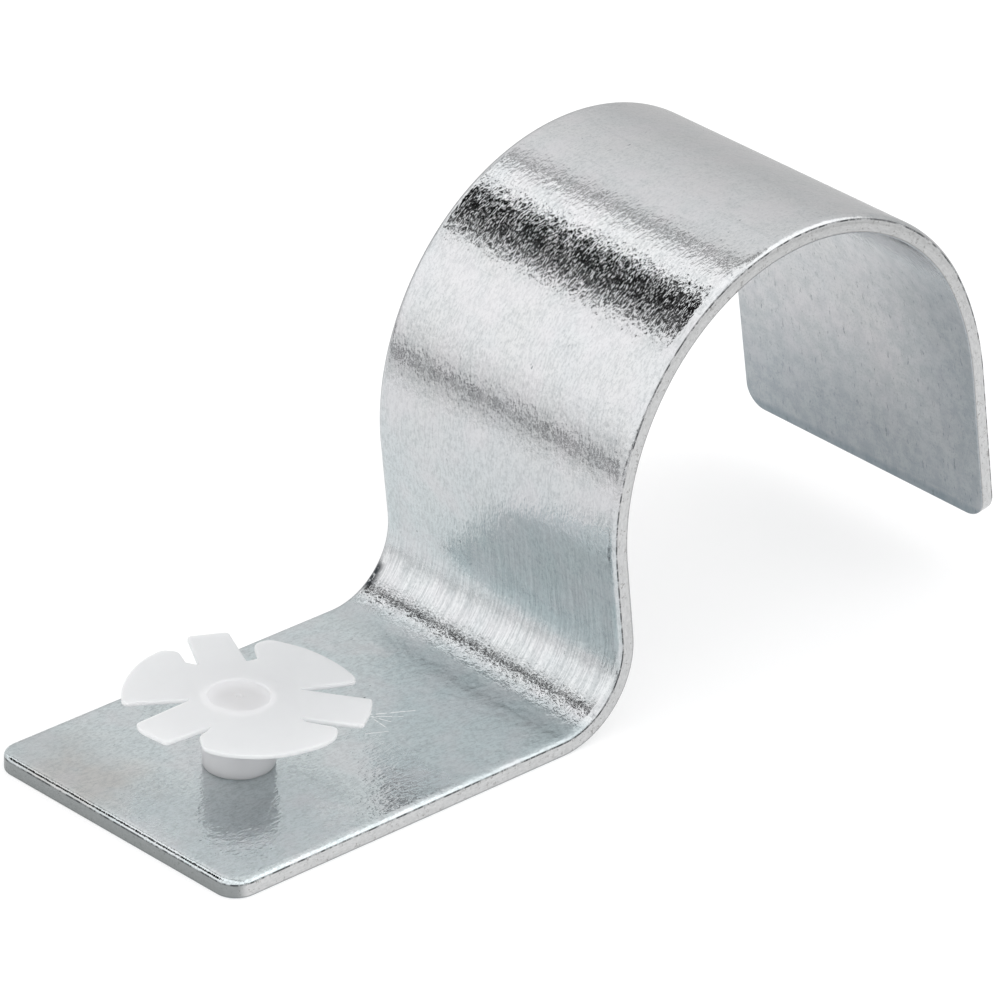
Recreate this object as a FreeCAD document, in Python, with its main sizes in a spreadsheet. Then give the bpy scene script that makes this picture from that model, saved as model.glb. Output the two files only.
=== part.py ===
import FreeCAD, Part
import math
import os
import Sketcher

# Conduit strap: a one-hole strap for 1 inch steel conduit, bent from one strip of
# zinc-plated sheet steel, with a moulded plastic pin guide pressed into the hole of
# its foot. Millimetres, +Z away from the wall, the foot's underside lies in z = 0,
# and the origin is on the fastener's axis. +X runs from the foot towards the arch.

V = FreeCAD.Vector
doc = FreeCAD.newDocument("conduit_strap")

# ----------------------------------------------------------------- driving dimensions
sheet = doc.addObject("Spreadsheet::Sheet", "Dims")
sheet.Label = "dimensions"
dims = [
    # the strip
    ("strap_width", 22.225), ("sheet_gauge", 1.22),
    ("foot_reach", 10.6), ("bend_reach", 17.09), ("foot_skew_angle", 2.1),
    ("foot_corner_radius", 1.55), ("leg_corner_radius", 1.6),
    ("bend_inner_radius", 4.65), ("riser_angle", 96.9), ("riser_length", 5.38),
    ("shoulder_radius", 15.87), ("shoulder_sweep", 46.9),
    ("crown_radius", 14.8), ("crown_sweep", 110.0),
    ("flank_radius", 21.0), ("flank_sweep", 21.1), ("leg_length", 11.16),
    ("die_roll_radius", 0.32), ("burr_break_radius", 0.1),
    ("hole_radius", 2.05),
    # the pin guide
    ("spigot_radius", 2.05), ("collar_foot_radius", 2.3), ("collar_top_radius", 2.34),
    ("bore_radius", 1.55), ("web_thickness", 0.62), ("collar_height", 4.48),
    ("star_thickness", 0.3), ("star_radius", 7.45), ("tab_radius", 8.05), ("tab_width", 3.1),
    ("tab_angle", 64.0), ("slit_mouth", 1.75), ("slit_root_gap", 0.4), ("slit_root", 3.9),
    ("petal_corner_radius", 0.95), ("tab_corner_radius", 0.4), ("star_edge_radius", 0.1),
    ("recess_radius", 1.9), ("recess_depth", 0.12),
    ("gate_radius", 0.24), ("gate_depth", 0.12),
    ("star_lean_side", 0.66), ("star_lean_front", 1.475),
]
for row, (alias, value) in enumerate(dims, start=1):
    sheet.set("A%d" % row, alias.replace("_", " "))
    sheet.set("B%d" % row, repr(float(value)))
    sheet.setAlias("B%d" % row, alias)
doc.recompute()


def dim(alias):
    """The number that the sheet holds under this alias."""
    return float(getattr(sheet, alias))


# ----------------------------------------------------------------- small helpers
def plane_of(body, role):
    """One of the body's own origin planes or axes, found by its role."""
    for feature in body.Origin.OriginFeatures:
        if feature.Role == role:
            return feature
    raise RuntimeError("no %s in %s" % (role, body.Name))


def new_sketch(body, name, role="XY_Plane", offset=None):
    sketch = body.newObject("Sketcher::SketchObject", name)
    sketch.AttachmentSupport = [(plane_of(body, role), "")]
    sketch.MapMode = "FlatFace"
    if offset is not None:
        sketch.AttachmentOffset = offset
    return sketch


def rule(sketch, *args, **kw):
    """Add a constraint; bind= is the sheet expression that drives it."""
    index = sketch.addConstraint(Sketcher.Constraint(*args))
    if "bind" in kw:
        sketch.setExpression("Constraints[%d]" % index, kw["bind"])
    return index


def line(sketch, a, b):
    return sketch.addGeometry(Part.LineSegment(V(a[0], a[1], 0), V(b[0], b[1], 0)), False)


def arc(sketch, centre, radius, start, end):
    """Counter-clockwise arc between two directions given in degrees."""
    circle = Part.Circle(V(centre[0], centre[1], 0), V(0, 0, 1), radius)
    return sketch.addGeometry(
        Part.ArcOfCircle(circle, math.radians(start), math.radians(end)), False)


def edges_where(shape, test):
    return ["Edge%d" % (i + 1) for i, edge in enumerate(shape.Edges) if test(edge)]


def middle(edge):
    return edge.valueAt(0.5 * (edge.FirstParameter + edge.LastParameter))


# ----------------------------------------------------------------- strap: the profile
# The underside of the strip is one tangent chain: flat foot, bend, riser, three arcs
# over the conduit and a straight leg. It is described by headings: 0 along +X, and
# the strip's thickness lies on the left of the chain.
gauge = dim("sheet_gauge")
half_width = 0.5 * dim("strap_width")
h_riser = dim("riser_angle")
h_crown = h_riser - dim("shoulder_sweep")
h_flank = h_crown - dim("crown_sweep")
h_leg = h_flank - dim("flank_sweep")


def direction(angle):
    a = math.radians(angle)
    return (math.cos(a), math.sin(a))


def left_of(angle):
    a = math.radians(angle)
    return (-math.sin(a), math.cos(a))


def step(point, vector, length):
    return (point[0] + vector[0] * length, point[1] + vector[1] * length)


def chain():
    """Junction points of the underside and the arcs' centres."""
    points, centres = {}, {}
    points["foot_end"] = (-dim("foot_reach"), 0.0)
    points["bend_in"] = (dim("bend_reach"), 0.0)
    centres["bend"] = step(points["bend_in"], left_of(0.0), dim("bend_inner_radius") + gauge)
    points["bend_out"] = step(centres["bend"], left_of(h_riser), -(dim("bend_inner_radius") + gauge))
    points["riser_top"] = step(points["bend_out"], direction(h_riser), dim("riser_length"))
    here = points["riser_top"]
    for name, radius, start, end, nxt in (
            ("shoulder", dim("shoulder_radius"), h_riser, h_crown, "crown_in"),
            ("crown", dim("crown_radius"), h_crown, h_flank, "crown_out"),
            ("flank", dim("flank_radius"), h_flank, h_leg, "leg_top")):
        centres[name] = step(here, left_of(start), -radius)
        here = step(centres[name], left_of(end), radius)
        points[nxt] = here
    points["leg_end"] = step(here, direction(h_leg), dim("leg_length"))
    return points, centres


P, C = chain()
R_IN = {"bend": dim("bend_inner_radius") + gauge, "shoulder": dim("shoulder_radius"),
        "crown": dim("crown_radius"), "flank": dim("flank_radius")}
R_OUT = {"bend": dim("bend_inner_radius"), "shoulder": dim("shoulder_radius") + gauge,
         "crown": dim("crown_radius") + gauge, "flank": dim("flank_radius") + gauge}

strap = doc.addObject("PartDesign::Body", "StrapBody")
strap.Label = "strap"

profile = new_sketch(strap, "StripProfile", "XZ_Plane")
headings = {"foot_end": 0.0, "bend_in": 0.0, "bend_out": h_riser, "riser_top": h_riser,
            "crown_in": h_crown, "crown_out": h_flank, "leg_top": h_leg, "leg_end": h_leg}
Q = {name: step(P[name], left_of(headings[name]), gauge) for name in P}


def add_side(points, radii):
    """Foot, bend, riser, shoulder, crown, flank and leg of one side of the strip."""
    g = {}
    g["foot"] = line(profile, points["foot_end"], points["bend_in"])
    g["bend"] = arc(profile, C["bend"], radii["bend"], -90.0, h_riser - 90.0)
    g["riser"] = line(profile, points["bend_out"], points["riser_top"])
    g["shoulder"] = arc(profile, C["shoulder"], radii["shoulder"], h_crown + 90.0, h_riser + 90.0)
    g["crown"] = arc(profile, C["crown"], radii["crown"], h_flank + 90.0, h_crown + 90.0)
    g["flank"] = arc(profile, C["flank"], radii["flank"], h_leg + 90.0, h_flank + 90.0)
    g["leg"] = line(profile, points["leg_top"], points["leg_end"])
    # end-to-end tangents; the arcs over the conduit run backwards along the chain
    rule(profile, "Tangent", g["foot"], 2, g["bend"], 1)
    rule(profile, "Tangent", g["bend"], 2, g["riser"], 1)
    rule(profile, "Tangent", g["riser"], 2, g["shoulder"], 2)
    rule(profile, "Tangent", g["shoulder"], 1, g["crown"], 2)
    rule(profile, "Tangent", g["crown"], 1, g["flank"], 2)
    rule(profile, "Tangent", g["flank"], 1, g["leg"], 1)
    return g


inner = add_side(P, R_IN)
outer = add_side(Q, R_OUT)
foot_cut = line(profile, P["foot_end"], Q["foot_end"])
leg_cut = line(profile, P["leg_end"], Q["leg_end"])
rule(profile, "Coincident", inner["foot"], 1, foot_cut, 1)
rule(profile, "Coincident", outer["foot"], 1, foot_cut, 2)
rule(profile, "Coincident", inner["leg"], 2, leg_cut, 1)
rule(profile, "Coincident", outer["leg"], 2, leg_cut, 2)
# both sides share the arcs' centres and stay parallel
for name in ("bend", "shoulder", "crown", "flank"):
    rule(profile, "Coincident", inner[name], 3, outer[name], 3)
rule(profile, "PointOnObject", inner["foot"], 1, -1)
rule(profile, "PointOnObject", inner["foot"], 2, -1)
rule(profile, "Horizontal", outer["foot"])
rule(profile, "Vertical", foot_cut)
rule(profile, "Parallel", inner["riser"], outer["riser"])
rule(profile, "Parallel", inner["leg"], outer["leg"])
rule(profile, "Perpendicular", inner["leg"], leg_cut)
rule(profile, "Distance", foot_cut, gauge, bind="Dims.sheet_gauge")
rule(profile, "DistanceX", inner["foot"], 1, -1, 1, dim("foot_reach"), bind="Dims.foot_reach")
rule(profile, "DistanceX", -1, 1, inner["foot"], 2, dim("bend_reach"), bind="Dims.bend_reach")
rule(profile, "Radius", outer["bend"], R_OUT["bend"], bind="Dims.bend_inner_radius")
rule(profile, "Angle", inner["bend"], math.radians(h_riser), bind="Dims.riser_angle")
rule(profile, "Distance", inner["riser"], dim("riser_length"), bind="Dims.riser_length")
rule(profile, "Radius", inner["shoulder"], R_IN["shoulder"], bind="Dims.shoulder_radius")
rule(profile, "Angle", inner["shoulder"], math.radians(dim("shoulder_sweep")), bind="Dims.shoulder_sweep")
rule(profile, "Radius", inner["crown"], R_IN["crown"], bind="Dims.crown_radius")
rule(profile, "Angle", inner["crown"], math.radians(dim("crown_sweep")), bind="Dims.crown_sweep")
rule(profile, "Radius", inner["flank"], R_IN["flank"], bind="Dims.flank_radius")
rule(profile, "Angle", inner["flank"], math.radians(dim("flank_sweep")), bind="Dims.flank_sweep")
rule(profile, "Distance", inner["leg"], dim("leg_length"), bind="Dims.leg_length")
doc.recompute()

strip = strap.newObject("PartDesign::Pad", "Strip")
strip.Profile = profile
strip.Midplane = True
strip.setExpression("Length", "Dims.strap_width")
doc.recompute()
strip_volume = strip.Shape.Volume

# The foot's end was sheared a little out of square: the far corner is the longer one.
shear = new_sketch(strap, "FootShear", "XY_Plane")
reach = dim("foot_reach")
over = 2.0 * half_width + 4.0
lean = math.tan(math.radians(dim("foot_skew_angle")))
# the wedge that is cut away, between the far corner and the near side
far = (-reach, half_width)
near = (-reach + lean * 2.0 * half_width, -half_width)
w0 = line(shear, far, near)
w1 = line(shear, near, (near[0], near[1] - 2.0))
w2 = line(shear, (near[0], near[1] - 2.0), (-reach - 3.0, near[1] - 2.0))
w3 = line(shear, (-reach - 3.0, near[1] - 2.0), (-reach - 3.0, half_width))
w4 = line(shear, (-reach - 3.0, half_width), far)
for a, b in ((w0, w1), (w1, w2), (w2, w3), (w3, w4), (w4, w0)):
    rule(shear, "Coincident", a, 2, b, 1)
rule(shear, "Vertical", w1)
rule(shear, "Horizontal", w2)
rule(shear, "Vertical", w3)
rule(shear, "Horizontal", w4)
rule(shear, "DistanceX", w0, 1, -1, 1, reach, bind="Dims.foot_reach")
rule(shear, "DistanceY", -1, 1, w0, 1, half_width, bind="Dims.strap_width / 2")
rule(shear, "DistanceY", w0, 2, w0, 1, 2.0 * half_width, bind="Dims.strap_width")
rule(shear, "DistanceX", w0, 1, w0, 2, lean * 2.0 * half_width,
     bind="Dims.strap_width * tan(Dims.foot_skew_angle * 1 deg)")
rule(shear, "Distance", w1, 2.0)
rule(shear, "Distance", w4, 3.0)
doc.recompute()
sheared = strap.newObject("PartDesign::Pocket", "ShearedEnd")
sheared.Profile = shear
sheared.Type = "ThroughAll"
sheared.Midplane = True
doc.recompute()
lost = strip_volume - sheared.Shape.Volume
print("sheared off %.3f mm3, wedge %.3f" % (lost, 0.5 * lean * (2 * half_width) ** 2 * gauge))


# Which side of the strip a point lies on: its distance from the underside chain.
def depth(point):
    x, z = point.x, point.z
    best = 1e9
    for a, b in (("foot_end", "bend_in"), ("bend_out", "riser_top"), ("leg_top", "leg_end")):
        ax, az = P[a]
        bx, bz = P[b]
        ux, uz = bx - ax, bz - az
        k = ((x - ax) * ux + (z - az) * uz) / (ux * ux + uz * uz)
        k = min(1.0, max(0.0, k))
        best = min(best, math.hypot(x - ax - k * ux, z - az - k * uz))
    for name, a0, a1 in (("bend", -90.0, h_riser - 90.0),
                         ("shoulder", h_crown + 90.0, h_riser + 90.0),
                         ("crown", h_flank + 90.0, h_crown + 90.0),
                         ("flank", h_leg + 90.0, h_flank + 90.0)):
        cx, cz = C[name]
        angle = math.degrees(math.atan2(z - cz, x - cx))
        while angle < a0 - 1e-6:
            angle += 360.0
        if angle <= a1 + 1e-6:
            best = min(best, abs(math.hypot(x - cx, z - cz) - R_IN[name]))
    return best


# Corners of the two cut ends, seen square to the sheet.
def corner_edges(shape, at_foot):
    def test(edge):
        if len(edge.Vertexes) != 2 or abs(edge.Length - gauge) > 0.02:
            return False
        mid = middle(edge)
        if abs(abs(mid.y) - half_width) > 1e-3 or abs(depth(mid) - 0.5 * gauge) > 0.02:
            return False
        return (mid.x < -reach + 2.0) if at_foot else (mid.x > P["crown_out"][0] and mid.z < P["leg_end"][1] + 1.0)
    return edges_where(shape, test)


foot_corners = strap.newObject("PartDesign::Fillet", "FootCorners")
names = corner_edges(sheared.Shape, True)
assert len(names) == 2, names
foot_corners.Base = (sheared, names)
foot_corners.setExpression("Radius", "Dims.foot_corner_radius")
doc.recompute()

leg_corners = strap.newObject("PartDesign::Fillet", "LegCorners")
names = corner_edges(foot_corners.Shape, False)
assert len(names) == 2, names
leg_corners.Base = (foot_corners, names)
leg_corners.setExpression("Radius", "Dims.leg_corner_radius")
doc.recompute()


# The strip was blanked from the wall side: the outer face's rim is rolled over, and the
# underside's rim keeps a sharp edge with only its burr broken.
def rim_edges(shape, level):
    def is_skin(face):
        u0, u1, v0, v1 = face.ParameterRange
        point = face.valueAt(0.5 * (u0 + u1), 0.5 * (v0 + v1))
        d = depth(point)
        return d < 1e-3 or abs(d - gauge) < 1e-3

    def test(edge):
        for k in (0.1, 0.5, 0.9):
            q = edge.valueAt(edge.FirstParameter + k * (edge.LastParameter - edge.FirstParameter))
            if abs(depth(q) - level) > 5e-3:
                return False
        skins = [is_skin(face) for face in shape.ancestorsOfType(edge, Part.Face)]
        return len(skins) == 2 and skins[0] != skins[1]
    return edges_where(shape, test)


rolled = strap.newObject("PartDesign::Fillet", "DieRoll")
names = rim_edges(leg_corners.Shape, gauge)
print("die roll on", len(names), "edges")
rolled.Base = (leg_corners, names)
rolled.setExpression("Radius", "Dims.die_roll_radius")
doc.recompute()

broken = strap.newObject("PartDesign::Fillet", "BurrBreak")
names = rim_edges(rolled.Shape, 0.0)
print("burr break on", len(names), "edges")
broken.Base = (rolled, names)
broken.setExpression("Radius", "Dims.burr_break_radius")
doc.recompute()

# The hole in the foot that the guide is pressed into.
hole_sketch = new_sketch(strap, "HoleSketch", "XY_Plane")
ring = hole_sketch.addGeometry(Part.Circle(V(0, 0, 0), V(0, 0, 1), dim("hole_radius")), False)
rule(hole_sketch, "Coincident", ring, 3, -1, 1)
rule(hole_sketch, "Radius", ring, dim("hole_radius"), bind="Dims.hole_radius")
doc.recompute()
before = broken.Shape.Volume
hole = strap.newObject("PartDesign::Pocket", "FootHole")
hole.Profile = hole_sketch
hole.Type = "Length"
hole.Midplane = True
hole.setExpression("Length", "Dims.sheet_gauge * 3")
doc.recompute()
print("hole removed %.3f mm3, expected %.3f" % (
    before - hole.Shape.Volume, math.pi * dim("hole_radius") ** 2 * gauge))
strap.Tip = hole
strap.Placement = FreeCAD.Placement(V(0, 0, 0), FreeCAD.Rotation())

# ----------------------------------------------------------------- pin guide
# One moulding: a spigot pressed into the foot's hole, a collar that stands on the foot,
# and a thin star whose six petals centre the guide in the fixing tool. The bore takes
# the pin's shank from below and ends under a thin web at the star.
guide = doc.addObject("PartDesign::Body", "GuideBody")
guide.Label = "pin_guide"

z_collar = gauge + dim("collar_height")
z_web = z_collar + dim("star_thickness") - dim("web_thickness")
hub = new_sketch(guide, "HubProfile", "XZ_Plane")
pts = [(dim("bore_radius"), 0.0), (dim("spigot_radius"), 0.0), (dim("spigot_radius"), gauge),
       (dim("collar_foot_radius"), gauge), (dim("collar_top_radius"), z_collar),
       (0.0, z_collar), (0.0, z_web), (dim("bore_radius"), z_web)]
ids = [line(hub, pts[i], pts[(i + 1) % len(pts)]) for i in range(len(pts))]
for i in range(len(ids)):
    rule(hub, "Coincident", ids[i], 2, ids[(i + 1) % len(ids)], 1)
mouth, spigot, seat, collar, top, axis_side, web, bore = ids
for i in (mouth, seat, top, web):
    rule(hub, "Horizontal", i)
for i in (spigot, axis_side, bore):
    rule(hub, "Vertical", i)
rule(hub, "PointOnObject", mouth, 1, -1)
rule(hub, "PointOnObject", top, 2, -2)
rule(hub, "DistanceX", -1, 1, mouth, 1, dim("bore_radius"), bind="Dims.bore_radius")
rule(hub, "DistanceX", -1, 1, spigot, 1, dim("spigot_radius"), bind="Dims.spigot_radius")
rule(hub, "DistanceX", -1, 1, collar, 1, dim("collar_foot_radius"), bind="Dims.collar_foot_radius")
rule(hub, "DistanceX", -1, 1, collar, 2, dim("collar_top_radius"), bind="Dims.collar_top_radius")
rule(hub, "DistanceY", -1, 1, seat, 1, gauge, bind="Dims.sheet_gauge")
rule(hub, "DistanceY", -1, 1, top, 1, z_collar, bind="Dims.sheet_gauge + Dims.collar_height")
rule(hub, "DistanceY", -1, 1, web, 1, z_web,
     bind="Dims.sheet_gauge + Dims.collar_height + Dims.star_thickness - Dims.web_thickness")
doc.recompute()
turned = guide.newObject("PartDesign::Revolution", "Hub")
turned.Profile = hub
turned.ReferenceAxis = (hub, ["V_Axis"])
turned.Angle = 360.0
doc.recompute()

# The star's plane leans a little, as the thin petals have been flexed.
lean_rotation = FreeCAD.Rotation(V(1, 0, 0), dim("star_lean_side")).multiply(
    FreeCAD.Rotation(V(0, 1, 0), dim("star_lean_front")))
star_plane = FreeCAD.Placement(V(0, 0, z_collar), lean_rotation)

disc_sketch = new_sketch(guide, "StarDiscSketch", "XY_Plane", star_plane)
disc_sketch.setExpression("AttachmentOffset.Base.z", "Dims.sheet_gauge + Dims.collar_height")
ring = disc_sketch.addGeometry(Part.Circle(V(0, 0, 0), V(0, 0, 1), dim("star_radius")), False)
rule(disc_sketch, "Coincident", ring, 3, -1, 1)
rule(disc_sketch, "Radius", ring, dim("star_radius"), bind="Dims.star_radius")
doc.recompute()
disc = guide.newObject("PartDesign::Pad", "StarDisc")
disc.Profile = disc_sketch
disc.Midplane = False
disc.setExpression("Length", "Dims.star_thickness")
doc.recompute()

# One narrow tab and the tapered slit on each of its sides, then three of each around the hub.
spin = FreeCAD.Rotation(V(0, 0, 1), dim("tab_angle"))
tab_plane = FreeCAD.Placement(V(0, 0, z_collar), lean_rotation.multiply(spin))
tab_sketch = new_sketch(guide, "TabSketch", "XY_Plane", tab_plane)
tab_sketch.setExpression("AttachmentOffset.Base.z", "Dims.sheet_gauge + Dims.collar_height")
ht = 0.5 * dim("tab_width")
rt = dim("tab_radius")
inner_x = 3.0
end_x = math.sqrt(rt * rt - ht * ht)
t0 = line(tab_sketch, (inner_x, -ht), (end_x, -ht))
tip = arc(tab_sketch, (0, 0), rt, -math.degrees(math.asin(ht / rt)), math.degrees(math.asin(ht / rt)))
t1 = line(tab_sketch, (end_x, ht), (inner_x, ht))
t2 = line(tab_sketch, (inner_x, ht), (inner_x, -ht))
rule(tab_sketch, "Coincident", t0, 2, tip, 1)
rule(tab_sketch, "Coincident", tip, 2, t1, 1)
rule(tab_sketch, "Coincident", t1, 2, t2, 1)
rule(tab_sketch, "Coincident", t2, 2, t0, 1)
rule(tab_sketch, "Coincident", tip, 3, -1, 1)
rule(tab_sketch, "Horizontal", t0)
rule(tab_sketch, "Horizontal", t1)
rule(tab_sketch, "Symmetric", t2, 1, t2, 2, -1)
rule(tab_sketch, "Distance", t2, 2 * ht, bind="Dims.tab_width")
rule(tab_sketch, "Radius", tip, rt, bind="Dims.tab_radius")
rule(tab_sketch, "DistanceX", -1, 1, t2, 1, inner_x)
doc.recompute()
tab = guide.newObject("PartDesign::Pad", "Tab")
tab.Profile = tab_sketch
tab.setExpression("Length", "Dims.star_thickness")
doc.recompute()

slit_sketch = new_sketch(guide, "SlitSketch", "XY_Plane", tab_plane)
slit_sketch.setExpression("AttachmentOffset.Base.z", "Dims.sheet_gauge + Dims.collar_height")
mouth_gap = dim("slit_mouth")
root_gap = dim("slit_root_gap")
root = dim("slit_root")
out_x = dim("star_radius")
for sign in (1.0, -1.0):
    lo = sign * ht
    a = line(slit_sketch, (root, lo), (out_x, lo))
    b = line(slit_sketch, (out_x, lo), (out_x, lo + sign * mouth_gap))
    c = line(slit_sketch, (out_x, lo + sign * mouth_gap), (root, lo + sign * root_gap))
    d = line(slit_sketch, (root, lo + sign * root_gap), (root, lo))
    for p, q in ((a, b), (b, c), (c, d), (d, a)):
        rule(slit_sketch, "Coincident", p, 2, q, 1)
    rule(slit_sketch, "Horizontal", a)
    rule(slit_sketch, "Vertical", b)
    rule(slit_sketch, "Vertical", d)
    if sign > 0:
        rule(slit_sketch, "DistanceY", -1, 1, a, 1, ht, bind="Dims.tab_width / 2")
        rule(slit_sketch, "DistanceY", a, 2, b, 2, mouth_gap, bind="Dims.slit_mouth")
        rule(slit_sketch, "DistanceY", d, 2, d, 1, root_gap, bind="Dims.slit_root_gap")
    else:
        rule(slit_sketch, "DistanceY", a, 1, -1, 1, ht, bind="Dims.tab_width / 2")
        rule(slit_sketch, "DistanceY", b, 2, a, 2, mouth_gap, bind="Dims.slit_mouth")
        rule(slit_sketch, "DistanceY", d, 1, d, 2, root_gap, bind="Dims.slit_root_gap")
    rule(slit_sketch, "DistanceX", -1, 1, a, 1, root, bind="Dims.slit_root")
    rule(slit_sketch, "DistanceX", -1, 1, a, 2, out_x, bind="Dims.star_radius")
doc.recompute()
before = tab.Shape.Volume
slit = guide.newObject("PartDesign::Pocket", "Slits")
slit.Profile = slit_sketch
slit.Type = "Length"
slit.Midplane = True
slit.setExpression("Length", "Dims.star_thickness * 4")
doc.recompute()
print("slits removed %.3f mm3" % (before - slit.Shape.Volume))

around = guide.newObject("PartDesign::PolarPattern", "ThreeTabs")
around.Originals = [tab, slit]
around.Axis = (disc_sketch, ["N_Axis"])
around.Angle = 360.0
around.Occurrences = 3
guide.Tip = around
doc.recompute()
print("star volume after pattern %.3f" % around.Shape.Volume)


# Rounded corners of the petals and the tabs.
def star_corners(shape, is_tab):
    inverse = star_plane.inverse()

    def test(edge):
        if abs(edge.Length - dim("star_thickness")) > 0.02 or len(edge.Vertexes) != 2:
            return False
        mid = inverse.multVec(middle(edge))
        radius = math.hypot(mid.x, mid.y)
        return abs(radius - (rt if is_tab else dim("star_radius"))) < 0.1
    return edges_where(shape, test)


petals = guide.newObject("PartDesign::Fillet", "PetalCorners")
names = star_corners(around.Shape, False)
assert len(names) == 6, names
petals.Base = (around, names)
petals.setExpression("Radius", "Dims.petal_corner_radius")
doc.recompute()
tips = guide.newObject("PartDesign::Fillet", "TabCorners")
names = star_corners(petals.Shape, True)
assert len(names) == 6, names
tips.Base = (petals, names)
tips.setExpression("Radius", "Dims.tab_corner_radius")
doc.recompute()


# A soft mould edge around the star's top face.
def star_rim(shape):
    inverse = star_plane.inverse()

    def test(edge):
        for k in (0.1, 0.5, 0.9):
            q = inverse.multVec(edge.valueAt(
                edge.FirstParameter + k * (edge.LastParameter - edge.FirstParameter)))
            if abs(q.z - dim("star_thickness")) > 1e-3:
                return False
        return True
    return edges_where(shape, test)


soft = guide.newObject("PartDesign::Fillet", "SoftRim")
names = star_rim(tips.Shape)
print("soft rim on", len(names), "edges")
soft.Base = (tips, names)
soft.setExpression("Radius", "Dims.star_edge_radius")
doc.recompute()

# The web over the bore is a shallow round recess with a gate mark in it.
top_plane = FreeCAD.Placement(star_plane.multVec(V(0, 0, dim("star_thickness"))), lean_rotation)
recess_sketch = new_sketch(guide, "RecessSketch", "XY_Plane", top_plane)
ring = recess_sketch.addGeometry(Part.Circle(V(0, 0, 0), V(0, 0, 1), dim("recess_radius")), False)
rule(recess_sketch, "Coincident", ring, 3, -1, 1)
rule(recess_sketch, "Radius", ring, dim("recess_radius"), bind="Dims.recess_radius")
doc.recompute()
before = soft.Shape.Volume
recess = guide.newObject("PartDesign::Pocket", "WebRecess")
recess.Profile = recess_sketch
recess.Type = "Length"
recess.setExpression("Length", "Dims.recess_depth")
doc.recompute()
print("recess removed %.3f mm3, expected %.3f" % (
    before - recess.Shape.Volume, math.pi * dim("recess_radius") ** 2 * dim("recess_depth")))

gate_sketch = new_sketch(guide, "GateSketch", "XY_Plane", top_plane)
ring = gate_sketch.addGeometry(Part.Circle(V(0, 0, 0), V(0, 0, 1), dim("gate_radius")), False)
rule(gate_sketch, "Coincident", ring, 3, -1, 1)
rule(gate_sketch, "Radius", ring, dim("gate_radius"), bind="Dims.gate_radius")
doc.recompute()
before = recess.Shape.Volume
gate = guide.newObject("PartDesign::Pocket", "GateMark")
gate.Profile = gate_sketch
gate.Type = "Length"
gate.setExpression("Length", "Dims.recess_depth + Dims.gate_depth")
doc.recompute()
print("gate removed %.4f mm3" % (before - gate.Shape.Volume))
guide.Tip = gate
guide.Placement = FreeCAD.Placement(V(0, 0, 0), FreeCAD.Rotation())
doc.recompute()

# ----------------------------------------------------------------- check and write
bodies = [strap, guide]
for obj in doc.Objects:
    bad = [s for s in obj.State if "Invalid" in s or "Error" in s]
    if bad:
        raise RuntimeError("%s failed: %s" % (obj.Label, bad))
    if obj.TypeId == "Sketcher::SketchObject" and not obj.FullyConstrained:
        raise RuntimeError("%s is not fully constrained" % obj.Name)
for body in bodies:
    shape = body.Shape
    if shape.isNull() or not shape.isValid() or len(shape.Solids) != 1:
        raise RuntimeError("%s has no single valid solid" % body.Label)

os.makedirs("parts", exist_ok=True)
for body in bodies:
    body.Shape.exportStep("parts/%s.step" % body.Label)
    box = body.Shape.BoundBox
    print("%-10s volume %.2f mm3, box %.2f..%.2f  %.2f..%.2f  %.2f..%.2f" % (
        body.Label, body.Shape.Volume, box.XMin, box.XMax, box.YMin, box.YMax, box.ZMin, box.ZMax))
print("crown centre %.3f, %.3f; leg end %.3f, %.3f" % (C["crown"] + P["leg_end"]))
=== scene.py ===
import math

import bpy
import numpy as np
from mathutils import Matrix, Vector
from mathutils.geometry import delaunay_2d_cdt


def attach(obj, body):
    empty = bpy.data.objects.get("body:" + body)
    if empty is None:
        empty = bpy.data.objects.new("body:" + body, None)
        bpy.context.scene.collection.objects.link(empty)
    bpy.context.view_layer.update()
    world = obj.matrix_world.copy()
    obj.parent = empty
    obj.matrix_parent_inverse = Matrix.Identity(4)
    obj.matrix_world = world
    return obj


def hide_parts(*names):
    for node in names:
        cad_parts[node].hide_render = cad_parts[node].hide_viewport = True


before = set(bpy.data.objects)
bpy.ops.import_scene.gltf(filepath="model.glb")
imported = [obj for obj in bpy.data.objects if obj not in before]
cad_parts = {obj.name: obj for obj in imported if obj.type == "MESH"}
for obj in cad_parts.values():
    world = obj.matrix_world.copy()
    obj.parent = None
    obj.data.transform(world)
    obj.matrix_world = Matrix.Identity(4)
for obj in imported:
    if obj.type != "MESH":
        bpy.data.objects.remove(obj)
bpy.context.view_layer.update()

MM = 0.001
scene = bpy.context.scene


# =====================================================================================
# camera: a long lens looking down at the strap from the foot's near side
# =====================================================================================
def place_camera():
    az, el, roll = math.radians(-42.558), math.radians(28.292), math.radians(1.045)
    back = Vector((math.sin(az) * math.cos(el), -math.cos(az) * math.cos(el), math.sin(el)))
    right = Vector((math.cos(az), math.sin(az), 0.0))
    up = back.cross(right)
    right2 = right * math.cos(roll) + up * math.sin(roll)
    up2 = up * math.cos(roll) - right * math.sin(roll)
    target = Vector((0.02154, 0.0, 0.012115))
    where = target + back * 0.42843
    cam = bpy.data.cameras.new("studio_camera")
    cam.sensor_fit = "HORIZONTAL"
    cam.sensor_width = 36.0
    cam.lens = 244.64
    cam.clip_start = 0.02
    cam.clip_end = 20.0
    ob = bpy.data.objects.new("studio_camera", cam)
    m = Matrix((
        (right2.x, up2.x, back.x, where.x),
        (right2.y, up2.y, back.y, where.y),
        (right2.z, up2.z, back.z, where.z),
        (0, 0, 0, 1)))
    ob.matrix_world = m
    scene.collection.objects.link(ob)
    scene.camera = ob


place_camera()
scene.view_settings.view_transform = "Standard"
scene.view_settings.look = "None"
scene.view_settings.exposure = 0.0
scene.view_settings.gamma = 1.0


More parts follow.
